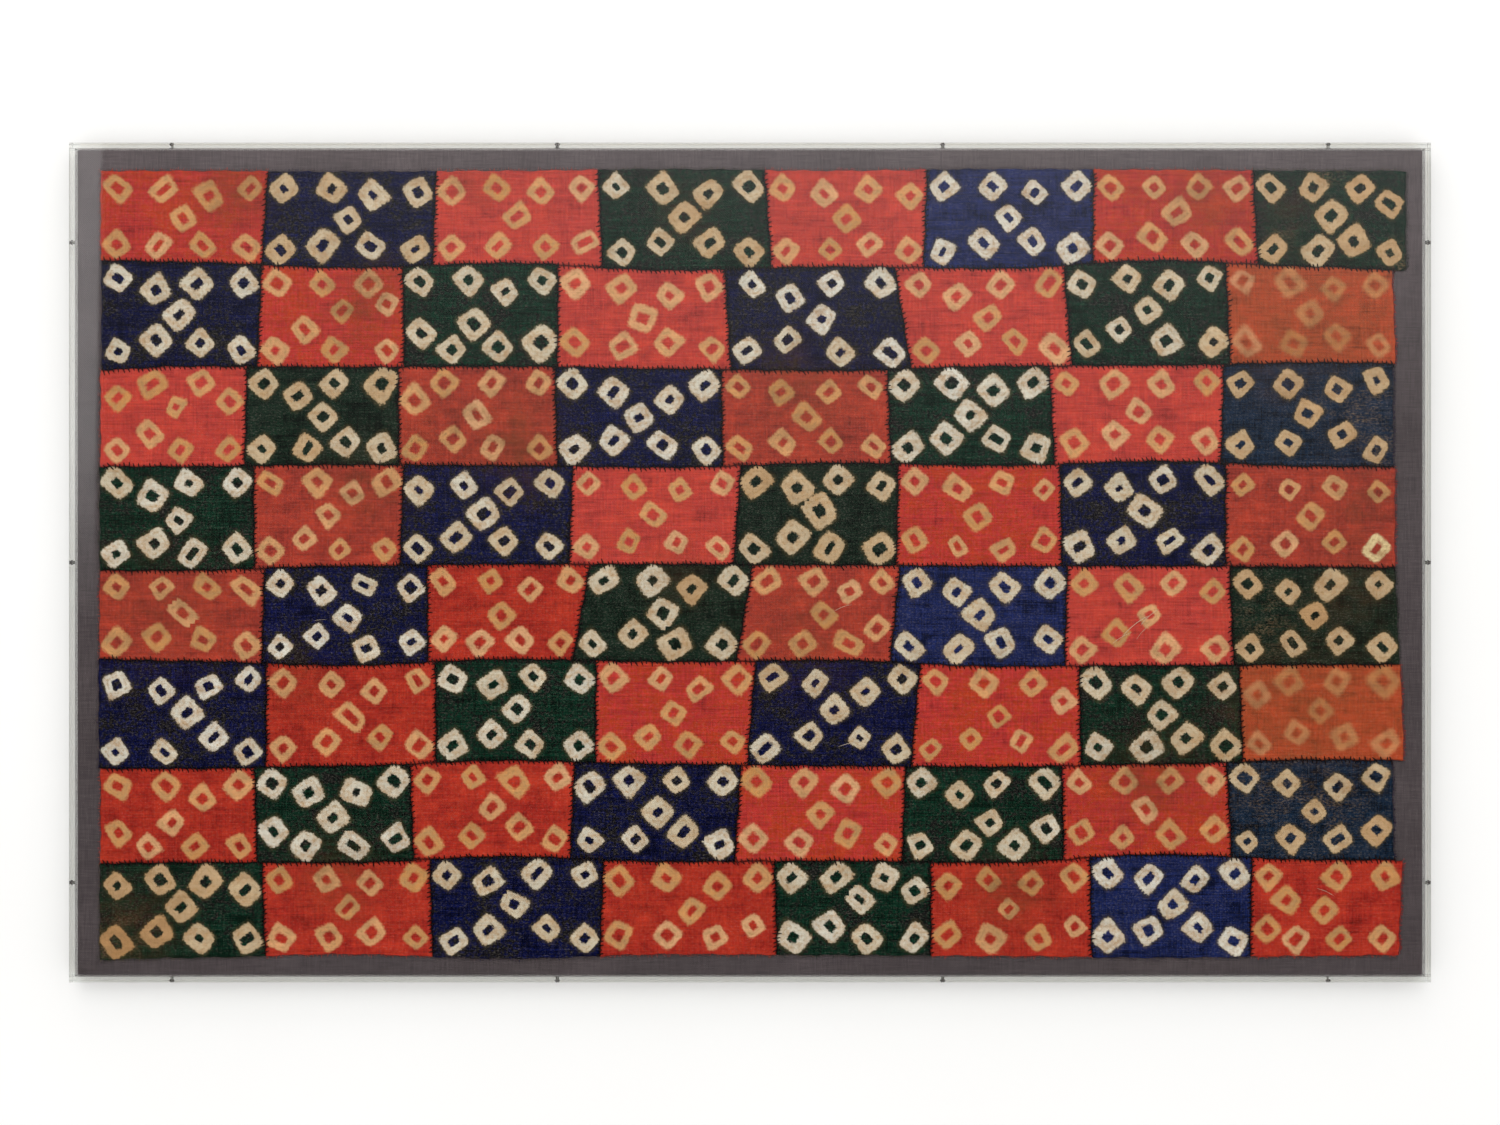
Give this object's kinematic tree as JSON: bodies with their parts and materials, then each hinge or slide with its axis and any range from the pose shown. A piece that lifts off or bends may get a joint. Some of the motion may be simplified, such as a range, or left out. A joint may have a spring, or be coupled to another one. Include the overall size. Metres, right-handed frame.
{
  "type": "patchwork textile panel in a clear box frame",
  "caption": "Flat patchwork cloth of tie-dyed oblong pieces sewn together, laid on a grey mount cloth and shut in a shallow clear box frame.",
  "frame": {"origin": "on the surface, under the middle of the panel's back", "axes": "+X along the panel's length, +Y towards its top edge, +Z out of its face; it lies on its back"},
  "size_m": [1.5, 0.925, 0.045],
  "materials": {
    "patchwork": "plain-woven wool, tie-dyed red, navy and green, matt",
    "mount_cloth": "fine grey plain weave, matt",
    "backing": "bare birch plywood",
    "clear_sheet": "clear acrylic sheet, polished edges",
    "screws": "plain countersunk steel"
  },
  "bodies": {
    "root": {"patchwork_cloth": "patchwork", "mount_cloth": "mount_cloth", "backing_board": "backing", "front_sheet": "clear_sheet", "wall_top": "clear_sheet", "wall_bottom": "clear_sheet", "wall_left": "clear_sheet", "wall_right": "clear_sheet", "screw_top_1": "screws", "screw_top_2": "screws", "screw_top_3": "screws", "screw_top_4": "screws", "screw_bottom_1": "screws", "screw_bottom_2": "screws", "screw_bottom_3": "screws", "screw_bottom_4": "screws", "screw_left_1": "screws", "screw_left_2": "screws", "screw_left_3": "screws", "screw_right_1": "screws", "screw_right_2": "screws", "screw_right_3": "screws"}
  },
  "joints": []
}
